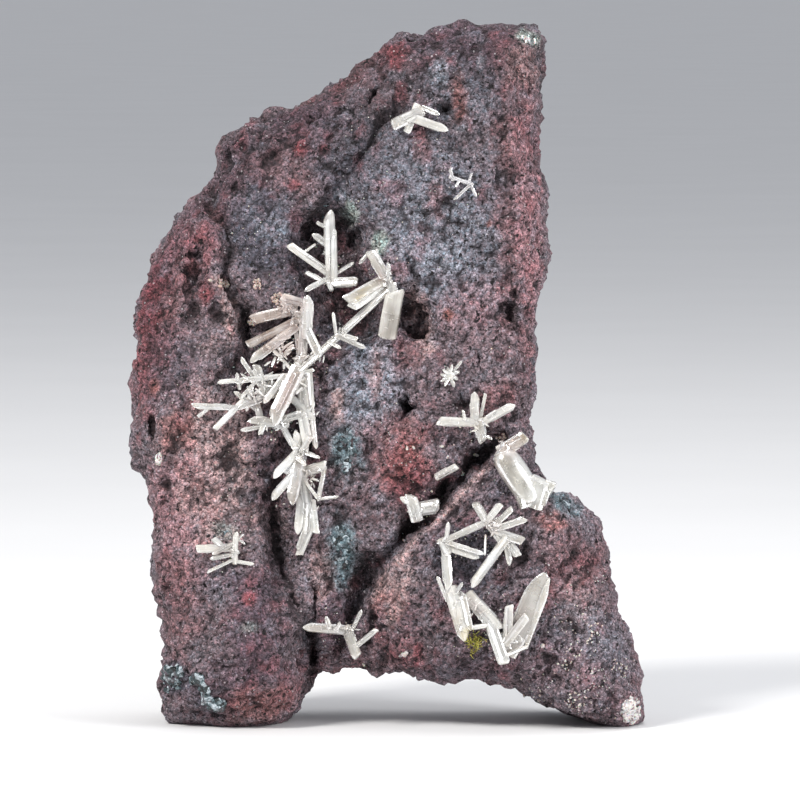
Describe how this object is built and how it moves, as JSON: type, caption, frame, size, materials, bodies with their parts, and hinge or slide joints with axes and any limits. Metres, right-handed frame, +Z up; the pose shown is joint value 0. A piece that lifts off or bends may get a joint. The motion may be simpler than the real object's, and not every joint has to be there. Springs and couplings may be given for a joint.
{
  "type": "cerussite specimen",
  "caption": "Mineral specimen: pale bladed cerussite crystals and twinned stars on the face of a rough slab of iron-rich gossan standing on two feet.",
  "frame": {"origin": "under the middle of the specimen's bounding box, on the surface that it stands on", "axes": "+Z up, along the tall side of the slab; the face with the crystals looks along -Y and leans back 4 degrees; +X to the right of that face"},
  "size_m": [0.0654, 0.0296, 0.0876],
  "materials": {
    "gossan": "rough, porous, matt with fine glints",
    "cerussite": "adamantine, translucent milky white, finely striated"
  },
  "bodies": {
    "root": {"matrix": "gossan", "cerussite_upper_twin": "cerussite", "cerussite_upper_sprig": "cerussite", "cerussite_upper_star": "cerussite", "cerussite_central_spray": "cerussite", "cerussite_small_rosette": "cerussite", "cerussite_twin_star": "cerussite", "cerussite_ledge_blade": "cerussite", "cerussite_ledge_block": "cerussite", "cerussite_glassy_prism": "cerussite", "cerussite_lobe_chain": "cerussite", "cerussite_left_sprig": "cerussite", "cerussite_foot_twin": "cerussite"}
  },
  "joints": []
}
